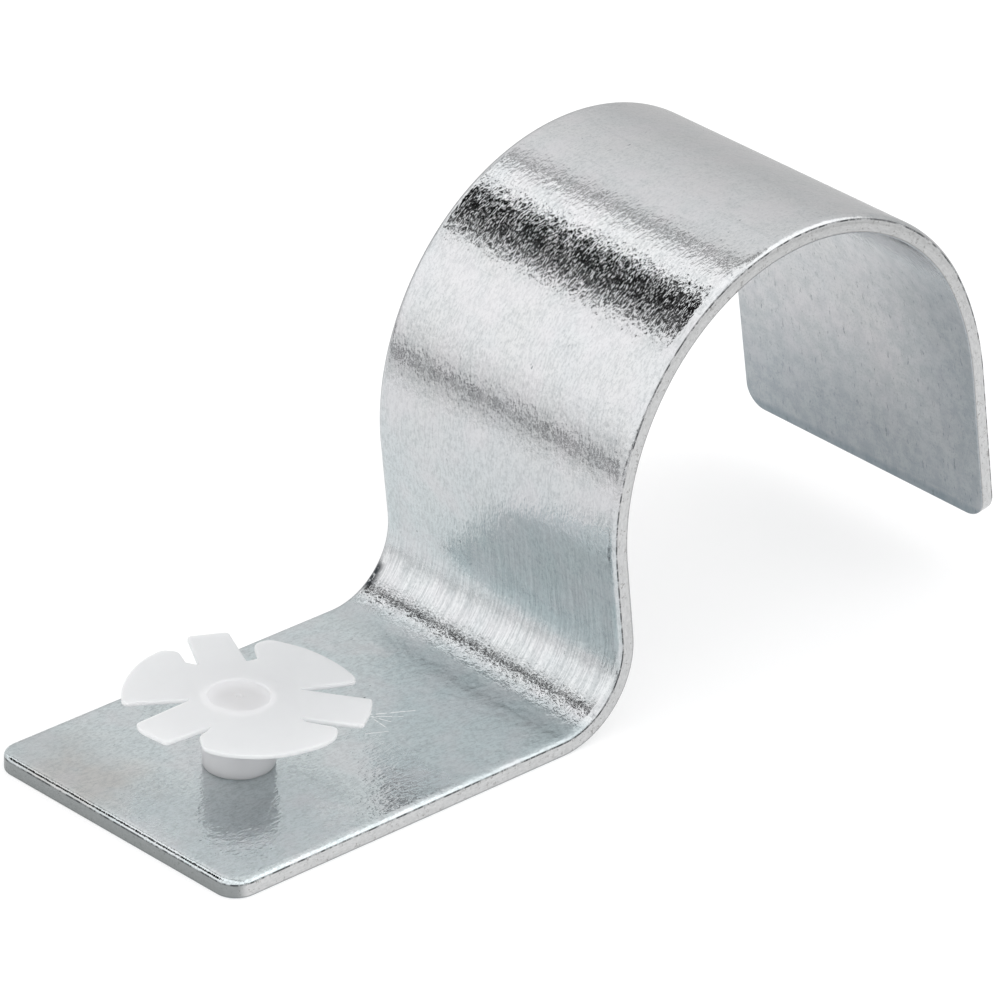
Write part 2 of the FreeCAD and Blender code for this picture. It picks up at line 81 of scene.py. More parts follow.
# =====================================================================================
# node helpers
# =====================================================================================
class Tree:
    """A thin wrapper that makes and links nodes in one line."""

    def __init__(self, tree):
        self.t = tree
        self.n = 0

    def node(self, kind, **props):
        node = self.t.nodes.new(kind)
        node.location = (200 * (self.n % 12), -160 * (self.n // 12))
        self.n += 1
        for key, value in props.items():
            setattr(node, key, value)
        return node

    def put(self, socket, value):
        if isinstance(value, bpy.types.NodeSocket):
            self.t.links.new(value, socket)
        elif value is not None:
            socket.default_value = value

    def math(self, op, a, b=None, c=None, clamp=False):
        node = self.node("ShaderNodeMath", operation=op, use_clamp=clamp)
        for i, v in enumerate((a, b, c)):
            if v is not None:
                self.put(node.inputs[i], v)
        return node.outputs[0]

    def vmath(self, op, a, b=None, out=0):
        node = self.node("ShaderNodeVectorMath", operation=op)
        self.put(node.inputs[0], a)
        if b is not None:
            self.put(node.inputs[1], b)
        return node.outputs[out]

    def span(self, value, a, b, lo=0.0, hi=1.0, smooth=True):
        """value between a and b becomes lo to hi, clamped."""
        node = self.node("ShaderNodeMapRange", clamp=True)
        node.interpolation_type = "SMOOTHSTEP" if smooth else "LINEAR"
        self.put(node.inputs["Value"], value)
        self.put(node.inputs["From Min"], a)
        self.put(node.inputs["From Max"], b)
        self.put(node.inputs["To Min"], lo)
        self.put(node.inputs["To Max"], hi)
        return node.outputs[0]

    def mix(self, factor, a, b, blend="MIX"):
        node = self.node("ShaderNodeMix", data_type="RGBA", blend_type=blend)
        node.clamp_factor = True
        self.put(node.inputs[0], factor)
        self.put(node.inputs[6], a)
        self.put(node.inputs[7], b)
        return node.outputs[2]

    def mixf(self, factor, a, b):
        node = self.node("ShaderNodeMix", data_type="FLOAT")
        self.put(node.inputs[0], factor)
        self.put(node.inputs[2], a)
        self.put(node.inputs[3], b)
        return node.outputs[0]

    def noise(self, vector, scale=1.0, detail=2.0, rough=0.5, distort=0.0, out=0, dims="3D", w=None):
        node = self.node("ShaderNodeTexNoise", noise_dimensions=dims)
        self.put(node.inputs["Vector"], vector)
        node.inputs["Scale"].default_value = scale
        node.inputs["Detail"].default_value = detail
        node.inputs["Roughness"].default_value = rough
        node.inputs["Distortion"].default_value = distort
        if w is not None:
            node.inputs["W"].default_value = w
        return node.outputs[out]

    def stretch(self, vector, x, y, z, offset=(0, 0, 0)):
        node = self.node("ShaderNodeMapping", vector_type="POINT")
        self.put(node.inputs["Vector"], vector)
        node.inputs["Scale"].default_value = (x, y, z)
        node.inputs["Location"].default_value = offset
        return node.outputs[0]

    def ramp(self, value, stops, mode="LINEAR"):
        node = self.node("ShaderNodeValToRGB")
        node.color_ramp.interpolation = mode
        els = node.color_ramp.elements
        while len(els) > 1:
            els.remove(els[-1])
        for i, (at, colour) in enumerate(stops):
            if not isinstance(colour, (tuple, list)):
                colour = (colour, colour, colour)
            el = els[0] if i == 0 else els.new(at)
            el.position = at
            el.color = (colour[0], colour[1], colour[2], 1.0)
        self.put(node.inputs[0], value)
        return node.outputs[0]


# =====================================================================================
# light: a soft white studio all round, as a world that depends on direction only
# =====================================================================================
def make_world():
    world = bpy.data.worlds.new("studio")
    scene.world = world
    world.use_nodes = True
    world.node_tree.nodes.clear()
    t = Tree(world.node_tree)
    coord = t.node("ShaderNodeTexCoord").outputs["Generated"]
    d = t.vmath("NORMALIZE", coord)
    sep = t.node("ShaderNodeSeparateXYZ")
    t.put(sep.inputs[0], d)
    x, y, z = sep.outputs
    turn = t.math("ARCTAN2", z, x)                       # -pi..pi about the Y axis
    turn = t.math("MULTIPLY_ADD", turn, 0.5 / math.pi, 0.5)
    # long soft boxes overhead and behind, the paler room in front, by the angle about Y
    stops = [
        (-180, 0.90), (-60, 0.80), (-20, 0.62), (14, 0.70), (34, 0.85), (66, 1.05), (74.5, 0.98),
        (76.5, 0.36), (79.5, 0.36), (82.5, 1.35), (98, 1.50), (120, 1.22), (140, 1.36), (165, 1.28), (180, 0.90)]
    scale = 0.5
    level = t.ramp(turn, [((a + 180.0) / 360.0, v * scale) for a, v in stops])
    # towards +-Y the strips would all meet, so they fade into an even grey there
    pole = t.span(t.math("ABSOLUTE", y), 0.86, 0.985)
    level = t.mix(pole, level, (0.9 * scale, 0.9 * scale, 0.9 * scale, 1))

    def toward(az, el):
        a, e = math.radians(az), math.radians(el)
        return (math.cos(a) * math.cos(e), math.sin(a) * math.cos(e), math.sin(e))

    def spot(az, el, r0, r1):
        dot = t.vmath("DOT_PRODUCT", d, toward(az, el), out=1)
        return t.span(dot, math.cos(math.radians(r1)), math.cos(math.radians(r0)))

    # a soft box in front, the gap between the two boxes behind, and the dark line of the
    # table's edge, low behind and on the horizon in front
    front = spot(-40, 44, 14.0, 36.0)
    level = t.mix(front, level, (1.7 * scale, 1.7 * scale, 1.7 * scale, 1))
    gap = spot(112.5, 45.0, 9.5, 12.0)
    # the gap is black at its upper side and paler below
    shade = t.span(turn, (108 + 180) / 360, (128 + 180) / 360, 0.004, 0.11)
    dark = t.node("ShaderNodeCombineColor")
    for k in range(3):
        t.put(dark.inputs[k], shade)
    level = t.mix(gap, level, dark.outputs[0])
    low = t.math("MULTIPLY", t.span(t.math("ABSOLUTE", t.math("ADD", z, 0.066)), 0.030, 0.014),
                 t.span(t.vmath("DOT_PRODUCT", d, toward(139, -3), out=1), 0.80, 0.90))
    level = t.mix(low, level, (0.02, 0.02, 0.025, 1))
    edge = t.math("MULTIPLY", t.span(t.math("ABSOLUTE", t.math("ADD", z, 0.02)), 0.055, 0.030),
                  t.span(y, -0.35, -0.50))
    level = t.mix(edge, level, (0.02, 0.02, 0.025, 1))
    bg = t.node("ShaderNodeBackground")
    t.put(bg.inputs["Color"], level)
    bg.inputs["Strength"].default_value = 1.0 / scale
    plain = t.node("ShaderNodeBackground")
    plain.inputs["Color"].default_value = (0.97, 0.972, 0.975, 1)
    plain.inputs["Strength"].default_value = 1.0
    seen = t.node("ShaderNodeLightPath").outputs["Is Camera Ray"]
    mix = t.node("ShaderNodeMixShader")
    t.put(mix.inputs[0], seen)
    t.put(mix.inputs[1], bg.outputs[0])
    t.put(mix.inputs[2], plain.outputs[0])
    out = t.node("ShaderNodeOutputWorld")
    t.put(out.inputs["Surface"], mix.outputs[0])


make_world()


# =====================================================================================
# floor
# =====================================================================================
def make_floor():
    n = 96
    verts = [(0.02, 0.0, 0.0)]
    for ring in (0.04, 0.10, 0.16):
        for i in range(n):
            a = 2 * math.pi * i / n
            verts.append((0.02 + ring * math.cos(a), ring * math.sin(a), 0.0))
    faces = [(0, 1 + i, 1 + (i + 1) % n) for i in range(n)]
    for k in range(2):
        for i in range(n):
            a, b = 1 + k * n + i, 1 + k * n + (i + 1) % n
            faces.append((a, a + n, b + n, b))
    mesh = bpy.data.meshes.new("floor")
    mesh.from_pydata(verts, [], faces)
    ob = bpy.data.objects.new("floor", mesh)
    scene.collection.objects.link(ob)
    ob.location.z = -0.00002
    mat = bpy.data.materials.new("floor")
    mat.use_nodes = True
    t = Tree(mat.node_tree)
    bsdf = mat.node_tree.nodes["Principled BSDF"]
    geo = t.node("ShaderNodeNewGeometry").outputs["Position"]
    cloud = t.noise(geo, scale=9.0, detail=3.0)
    t.put(bsdf.inputs["Base Color"], t.mix(cloud, (0.43, 0.43, 0.435, 1), (0.45, 0.45, 0.45, 1)))
    bsdf.inputs["Roughness"].default_value = 0.9
    bsdf.inputs["Specular IOR Level"].default_value = 0.1
    bsdf.inputs["Emission Color"].default_value = (1.0, 1.0, 1.0, 1)
    bsdf.inputs["Emission Strength"].default_value = 0.60
    matt = t.node("ShaderNodeBsdfDiffuse")
    matt.inputs["Color"].default_value = (0.70, 0.70, 0.705, 1)
    glow = t.node("ShaderNodeEmission")
    glow.inputs["Strength"].default_value = 0.25
    lit = t.node("ShaderNodeAddShader")
    t.put(lit.inputs[0], matt.outputs[0])
    t.put(lit.inputs[1], glow.outputs[0])
    away = t.vmath("LENGTH", t.vmath("SUBTRACT", geo, (0.02, 0.0, 0.0)), out=1)
    clear = t.node("ShaderNodeBsdfTransparent")
    small = t.node("ShaderNodeMixShader")
    t.put(small.inputs[0], t.span(away, 0.075, 0.095))
    t.put(small.inputs[1], lit.outputs[0])
    t.put(small.inputs[2], clear.outputs[0])
    seen = t.node("ShaderNodeLightPath").outputs["Is Camera Ray"]
    both = t.node("ShaderNodeMixShader")
    t.put(both.inputs[0], seen)
    t.put(both.inputs[1], small.outputs[0])
    t.put(both.inputs[2], bsdf.outputs[0])
    t.put(mat.node_tree.nodes["Material Output"].inputs["Surface"], both.outputs[0])
    mesh.materials.append(mat)
    return ob


make_floor()


# =====================================================================================
# the strap: a flat blank with rolled edges, wrapped along the bent profile
# =====================================================================================
DIM = dict(width=22.225, gauge=1.22, foot_reach=10.19, bend_reach=17.09, skew=2.1,
           foot_corner=1.55, leg_corner=1.6, bend=4.65, riser_angle=96.9, riser=5.38,
           shoulder=15.87, shoulder_sweep=46.9, crown=14.8, crown_sweep=110.0,
           flank=21.0, flank_sweep=21.1, leg=11.16, roll=0.32, roll_in=0.58, burr=0.1, hole=2.05)


def profile():
    """The underside of the strip as runs and arcs: (length, start x, z, heading, turn per mm)."""
    runs = []
    x, z, h = -DIM["foot_reach"], 0.0, 0.0

    def go(length, radius=None, left=True):
        nonlocal x, z, h
        k = 0.0 if radius is None else (1.0 if left else -1.0) / radius
        runs.append((length, x, z, h, k))
        if k == 0.0:
            x, z = x + length * math.cos(h), z + length * math.sin(h)
        else:
            h2 = h + k * length
            x, z = x + (math.sin(h2) - math.sin(h)) / k, z - (math.cos(h2) - math.cos(h)) / k
            h = h2

    rad = math.radians
    go(DIM["foot_reach"] + DIM["bend_reach"])
    go((DIM["bend"] + DIM["gauge"]) * rad(DIM["riser_angle"]), DIM["bend"] + DIM["gauge"], True)
    go(DIM["riser"])
    go(DIM["shoulder"] * rad(DIM["shoulder_sweep"]), DIM["shoulder"], False)
    go(DIM["crown"] * rad(DIM["crown_sweep"]), DIM["crown"], False)
    go(DIM["flank"] * rad(DIM["flank_sweep"]), DIM["flank"], False)
    go(DIM["leg"])
    return runs


RUNS = profile()
LENGTH = sum(r[0] for r in RUNS)


def along(s):
    """Point, tangent and outward normal of the underside line at arc length s (arrays, mm)."""
    s = np.asarray(s, float)
    px, pz, hd = np.zeros_like(s), np.zeros_like(s), np.zeros_like(s)
    start = 0.0
    for i, (length, x, z, h, k) in enumerate(RUNS):
        last = i == len(RUNS) - 1
        here = (s >= start if i else np.ones_like(s, bool)) & ((s < start + length) | last)
        u = s - start
        if k == 0.0:
            px = np.where(here, x + u * math.cos(h), px)
            pz = np.where(here, z + u * math.sin(h), pz)
            hd = np.where(here, h, hd)
        else:
            h2 = h + k * u
            px = np.where(here, x + (np.sin(h2) - math.sin(h)) / k, px)
            pz = np.where(here, z - (np.cos(h2) - math.cos(h)) / k, pz)
            hd = np.where(here, h2, hd)
        start += length
    zero = np.zeros_like(s)
    return (np.stack([px, zero, pz], -1), np.stack([np.cos(hd), zero, np.sin(hd)], -1),
            np.stack([-np.sin(hd), zero, np.cos(hd)], -1))


def value_noise(u, v, seed):
    """Smooth repeatable noise in -1..1 on a lattice of unit cells."""
    def hashed(i, j):
        n = (i.astype(np.int64) * 374761393 + j.astype(np.int64) * 668265263 + seed * 974634777)
        n = (n ^ (n >> 13)) * 1274126177
        n = n ^ (n >> 16)
        return (n & 0xFFFF).astype(float) / 32767.5 - 1.0
    i, j = np.floor(u), np.floor(v)
    fu, fv = u - i, v - j
    fu, fv = fu * fu * (3 - 2 * fu), fv * fv * (3 - 2 * fv)
    a, b = hashed(i, j), hashed(i + 1, j)
    c, d = hashed(i, j + 1), hashed(i + 1, j + 1)
    return (a * (1 - fu) + b * fu) * (1 - fv) + (c * (1 - fu) + d * fu) * fv


def relief(s, y):
    """Slow waviness of the rolled sheet, in mm, positive outwards."""
    w = 0.0035 * value_noise(s / 6.0 + 3.1, y / 4.5, 5)
    w += 0.0018 * value_noise(s / 2.6, y / 2.0 + 7.7, 11)
    # the bend's inside is a little ribbed along the strip by the forming tool
    bend = np.exp(-((s - 32.0) / 3.4) ** 2)
    w += bend * 0.0022 * value_noise(s / 5.0, y / 0.7, 23)
    # the bend starts in a slight crease, a little uneven across the strip
    wander = 0.12 * value_noise(s * 0.0 + 1.3, y / 1.1, 31)
    w -= 0.028 * np.exp(-((s - 31.0 - wander) / 0.62) ** 2)
    return w


def rounded_outline(corners, radii, step):
    """Points and inward normals of a polygon (counter-clockwise) with rounded corners."""
    pts, nrm = [], []
    n = len(corners)
    arcs = []
    for i in range(n):
        p0, p, p1 = (np.array(corners[(i + k) % n], float) for k in (-1, 0, 1))
        a, b = p - p0, p1 - p
        a, b = a / np.linalg.norm(a), b / np.linalg.norm(b)
        turn = math.atan2(a[0] * b[1] - a[1] * b[0], float(a @ b))
        r = radii[i]
        cut = r * math.tan(turn / 2)
        t0, t1 = p - a * cut, p + b * cut
        centre = t0 + np.array([-a[1], a[0]]) * r
        arcs.append((t0, t1, centre, r, turn))
    for i in range(n):
        t0, t1, centre, r, turn = arcs[i]
        k = 14
        for j in range(k + 1):
            a = turn * j / k
            v = t0 - centre
            v = np.array([v[0] * math.cos(a) - v[1] * math.sin(a), v[0] * math.sin(a) + v[1] * math.cos(a)])
            pts.append(centre + v)
            nrm.append(-v / r)
        nxt = arcs[(i + 1) % n][0]
        run = nxt - t1
        m = max(1, int(round(np.linalg.norm(run) / step)))
        inward = np.array([-run[1], run[0]]) / np.linalg.norm(run)
        for j in range(1, m):
            pts.append(t1 + run * j / m)
            nrm.append(inward)
    return np.array(pts), np.array(nrm)


def build_strap():
    half = DIM["width"] / 2
    t = DIM["gauge"]
    lean = math.tan(math.radians(DIM["skew"])) * DIM["width"]
    corners = [(lean / 2, -half), (LENGTH, -half), (LENGTH, half), (-lean / 2, half)]
    radii = [DIM["foot_corner"], DIM["leg_corner"], DIM["leg_corner"], DIM["foot_corner"]]
    step = 0.30
    edge, inward = rounded_outline(corners, radii, step)
    n = len(edge)
    roll, roll_in, burr = DIM["roll"], DIM["roll_in"], DIM["burr"]
    # (inset, depth, how much the normal points outwards, how much along the depth)
    rows = [(0.55, 0.0, 0.0, -1.0), (0.28, 0.0, 0.0, -1.0)]
    for k in range(0, 5):
        a = math.radians(90 - 90 * k / 4)
        rows.append((burr * (1 - math.cos(a)), burr * (1 - math.sin(a)), math.cos(a), -math.sin(a)))
    for k in range(1, 6):
        rows.append((0.0, burr + (t - roll - burr) * k / 6, 1.0, 0.0))
    for k in range(0, 9):
        # the die roll is wider than it is deep
        a = math.radians(90 * k / 8)
        size = math.hypot(math.cos(a) / roll_in, math.sin(a) / roll)
        rows.append((roll_in * (1 - math.cos(a)), t - roll + roll * math.sin(a),
                     math.cos(a) / roll_in / size, math.sin(a) / roll / size))
    rows += [(0.70, t, 0.0, 1.0), (0.84, t, 0.0, 1.0)]

    flat, norm, faces = [], [], []
    for inset, depth, out, up in rows:
        ring = edge + inward * inset
        for i in range(n):
            flat.append((ring[i, 0], ring[i, 1], depth))
            norm.append((-inward[i, 0] * out, -inward[i, 1] * out, up))
    for r in range(len(rows) - 1):
        for i in range(n):
            j = (i + 1) % n
            faces.append((r * n + i, r * n + j, (r + 1) * n + j, (r + 1) * n + i))

    hole_n = 64
    hole_at = np.array([DIM["foot_reach"], 0.0])
    ang = np.arange(hole_n) * 2 * math.pi / hole_n
    hole_dir = np.stack([np.cos(ang), np.sin(ang)], -1)

    def skin(row, depth, up):
        """Fill one face of the sheet between its rim and the hole."""
        ring = np.array([flat[row * n + i][:2] for i in range(n)])
        inset = rows[row][0]
        gs = np.arange(-0.6, LENGTH + 1e-6, step)
        m = int(round(2 * (half - inset) / step))
        gy = np.linspace(-(half - inset), half - inset, m + 1)[1:-1]
        pts = []
        margin = 0.17
        r0, r1 = 1.55 - inset, 1.6 - inset
        for s in gs:
            ends = lean * (half - gy) / (2 * half) - lean / 2 + inset + margin
            for k, y in enumerate(gy):
                if s < ends[k] or s > LENGTH - inset - margin:
                    continue
                # stay clear of the rounded corners and of the hole
                clear = True
                for cx, cy, rr, sx in ((1.55 + lean / 2, -half + 1.55, r0, -1), (1.55 - lean / 2, half - 1.55, r0, -1),
                                       (LENGTH - 1.6, -half + 1.6, r1, 1), (LENGTH - 1.6, half - 1.6, r1, 1)):
                    if (s - cx) * sx > -0.3 and (y - cy) * math.copysign(1, cy) > -0.3:
                        if math.hypot(s - cx, y - cy) > rr - margin:
                            clear = False
                if math.hypot(s - hole_at[0], y - hole_at[1]) < DIM["hole"] + 0.32:
                    clear = False
                if clear:
                    pts.append((s, y))
        first = len(flat)
        hole = []
        for rr in (DIM["hole"], DIM["hole"] + 0.15):
            for k in range(hole_n):
                p = hole_at + hole_dir[k] * rr
                hole.append((p[0], p[1]))
        everything = [tuple(p) for p in ring] + hole[hole_n:] + pts
        edges = [(i, (i + 1) % n) for i in range(n)]
        edges += [(n + k, n + (k + 1) % hole_n) for k in range(hole_n)]
        v, _, tri, orig, _, _ = delaunay_2d_cdt([Vector(p) for p in everything], edges, [], 0, 1e-5)
        # hand the points back to this mesh
        index = {}
        for k, o in enumerate(orig):
            src = o[0] if o else None
            if src is None:
                index[k] = len(flat)
                flat.append((v[k].x, v[k].y, depth))
                norm.append((0, 0, up))
            elif src < n:
                index[k] = row * n + src
            else:
                index[k] = len(flat)
                flat.append((everything[src][0], everything[src][1], depth))
                norm.append((0, 0, up))
        ring_of = {}
        for k, o in enumerate(orig):
            if o and n <= o[0] < n + hole_n:
                ring_of[o[0] - n] = index[k]
        for f in tri:
            c = sum((v[i] for i in f), Vector((0, 0))) / 3
            if math.hypot(c.x - hole_at[0], c.y - hole_at[1]) < DIM["hole"] + 0.149:
                continue
            f = [index[i] for i in f]
            faces.append(tuple(f) if up > 0 else tuple(reversed(f)))
        # the narrow ring beside the hole
        inner = []
        for k in range(hole_n):
            inner.append(len(flat))
            p = hole_at + hole_dir[k] * DIM["hole"]
            flat.append((p[0], p[1], depth))
            norm.append((0, 0, up))
        for k in range(hole_n):
            a, b = inner[k], inner[(k + 1) % hole_n]
            c, d = ring_of[(k + 1) % hole_n], ring_of[k]
            faces.append((a, d, c, b) if up > 0 else (b, c, d, a))
        return inner

    low = skin(0, 0.0, -1.0)
    high = skin(len(rows) - 1, t, 1.0)
    # the hole's wall
    wall_low, wall_high = [], []
    for k in range(hole_n):
        p = hole_at + hole_dir[k] * DIM["hole"]
        for depth, into in ((0.0, wall_low), (t, wall_high)):
            into.append(len(flat))
            flat.append((p[0], p[1], depth))
            norm.append((-hole_dir[k][0], -hole_dir[k][1], 0.0))
    for k in range(hole_n):
        j = (k + 1) % hole_n
        faces.append((wall_low[j], wall_low[k], wall_high[k], wall_high[j]))

    flat, norm = np.array(flat), np.array(norm)
    # the flat faces are very slightly wavy, and the waves fade out at the rim
    s, y, d = flat[:, 0], flat[:, 1], flat[:, 2]
    e = 0.05
    up = norm[:, 2]
    facing = np.where(np.abs(up) > 0.999, np.sign(up), 0.0)
    ds = (relief(s + e, y) - relief(s - e, y)) / (2 * e)
    dy = (relief(s, y + e) - relief(s, y - e)) / (2 * e)
    norm[:, 0] -= ds * facing
    norm[:, 1] -= dy * facing
    base, tangent, outward = along(s)
    co = base + outward * (d + np.where(d > t / 2, relief(s, y) * np.maximum(facing, 0.0), 0.0))[:, None]
    co[:, 1] = y
    nn = tangent * norm[:, :1] + outward * norm[:, 2:3]
    nn[:, 1] += norm[:, 1]
    nn /= np.linalg.norm(nn, axis=1, keepdims=True)

    mesh = bpy.data.meshes.new("strap_sheet")
    mesh.from_pydata((co * MM).tolist(), [], faces)
    mesh.update()
    mesh.polygons.foreach_set("use_smooth", [True] * len(mesh.polygons))
    mesh.normals_split_custom_set_from_vertices(nn.tolist())
    strip = mesh.attributes.new("strip", "FLOAT_VECTOR", "POINT")
    strip.data.foreach_set("vector", flat.astype(np.float32).ravel())
    cut = mesh.attributes.new("cut", "FLOAT", "POINT")
    cut.data.foreach_set("value", (1.0 - np.abs(norm[:, 2]).clip(0, 1)).astype(np.float32))
    ob = bpy.data.objects.new("strap_sheet", mesh)
    scene.collection.objects.link(ob)
    print("strap", len(mesh.vertices), "vertices", len(mesh.polygons), "faces")
    return ob


# =====================================================================================
# the guide: a turned hub under a thin star whose petals have been flexed in the pack
# =====================================================================================
GUIDE = dict(gauge=1.22, spigot=2.05, foot=2.30, top=2.34, bore=1.55, web=5.38, collar=4.48,
             thick=0.30, recess=1.98, deep=0.11, lean_side=0.66, lean_front=1.475)

# petal outlines in the star's own plane, anticlockwise: radius mm, angle, corner radius
PETALS = [
    # first tab
    (4.34, 43.4, 0.10), (8.02, 54.6, 0.30), (8.04, 73.8, 0.30), (4.47, 83.7, 0.10),
    # second fan
    (5.21, 89.1, 0.10), (6.61, 84.6, 0.60), (7.40, 90.4, 0.70), (7.46, 102.7, 9.0), (7.34, 116.2, 9.0),
    (7.29, 128.7, 9.0), (7.27, 138.8, 5.0), (7.27, 149.2, 0.45), (2.98, 151.7, 0.08),
    # second tab
    (7.31, 170.6, 0.35), (7.55, 176.6, 3.0), (7.47, 193.7, 0.30), (4.02, 208.6, 0.08),
    # third fan
    (5.70, 204.8, 0.60), (6.96, 211.8, 0.90), (7.20, 222.1, 6.0), (7.31, 230.2, 9.0), (7.44, 239.7, 9.0),
    (7.56, 251.0, 9.0), (7.65, 262.1, 9.0), (7.80, 271.8, 6.0), (7.73, 280.2, 1.2), (7.17, 287.9, 0.5),
    (5.16, 282.7, 0.08), (4.51, 284.1, 0.08),
    # third tab
    (8.41, 294.8, 0.30), (8.34, 307.7, 6.0), (8.24, 318.1, 0.30), (3.80, 334.2, 0.08),
    # first fan
    (7.54, 335.4, 0.40), (7.69, 340.6, 2.0), (7.59, 351.5, 8.0), (7.52, 364.7, 9.0), (7.52, 376.0, 9.0),
    (7.44, 385.8, 6.0), (7.46, 395.3, 0.9), (6.64, 402.1, 0.9), (4.84, 395.7, 0.10)]


def soft_outline(corners, step):
    """Like rounded_outline, for corners that turn either way; radii are cut to fit the sides."""
    n = len(corners)
    p = np.array([(r * math.cos(math.radians(a)), r * math.sin(math.radians(a))) for r, a, _ in corners])
    side = np.linalg.norm(np.roll(p, -1, 0) - p, axis=1)
    pts, nrm = [], []
    arcs = []
    for i in range(n):
        a = (p[i] - p[i - 1]) / side[i - 1]
        b = (p[(i + 1) % n] - p[i]) / side[i]
        turn = math.atan2(a[0] * b[1] - a[1] * b[0], float(a @ b))
        if abs(turn) < 1e-4:
            turn = 1e-4
        cut = min(corners[i][2] * abs(math.tan(turn / 2)), 0.48 * side[i - 1], 0.48 * side[i])
        r = cut / math.tan(turn / 2)
        t0 = p[i] - a * cut
        centre = t0 + np.array([-a[1], a[0]]) * r
        arcs.append((t0, p[i] + b * cut, centre, r, turn, b))
    for i in range(n):
        t0, t1, centre, r, turn, b = arcs[i]
        k = max(1, int(math.ceil(abs(turn) / math.radians(9.0))))
        for j in range(k + 1):
            a = turn * j / k
            v = t0 - centre
            v = np.array([v[0] * math.cos(a) - v[1] * math.sin(a), v[0] * math.sin(a) + v[1] * math.cos(a)])
            pts.append(centre + v)
            nrm.append(-v / r)
        run = arcs[(i + 1) % n][0] - t1
        m = max(1, int(round(np.linalg.norm(run) / step)))
        for j in range(1, m):
            pts.append(t1 + run * j / m)
            nrm.append(np.array([-b[1], b[0]]))
    return np.array(pts), np.array(nrm)


def inside(points, ring):
    x, y = points[:, 0][:, None], points[:, 1][:, None]
    a, b = ring, np.roll(ring, -1, 0)
    hit = (a[None, :, 1] > y) != (b[None, :, 1] > y)
    dy = np.where(np.abs(b[:, 1] - a[:, 1]) < 1e-12, 1e-12, b[:, 1] - a[:, 1])
    xs = a[None, :, 0] + (y - a[None, :, 1]) * ((b[:, 0] - a[:, 0]) / dy)[None, :]
    return (hit & (x < xs)).sum(1) % 2 == 1


def flex(q):
    """How far each petal is bent out of the star's plane, in mm, and it is level at the hub."""
    r, a = np.hypot(q[:, 0], q[:, 1]), np.arctan2(q[:, 1], q[:, 0])
    reach = np.clip((r - 2.8) / 4.6, 0.0, 1.3) ** 2
    wave = 0.05 * np.cos(3 * (a - 1.1)) + 0.04 * np.cos(a + 0.9) - 0.03
    return reach * wave


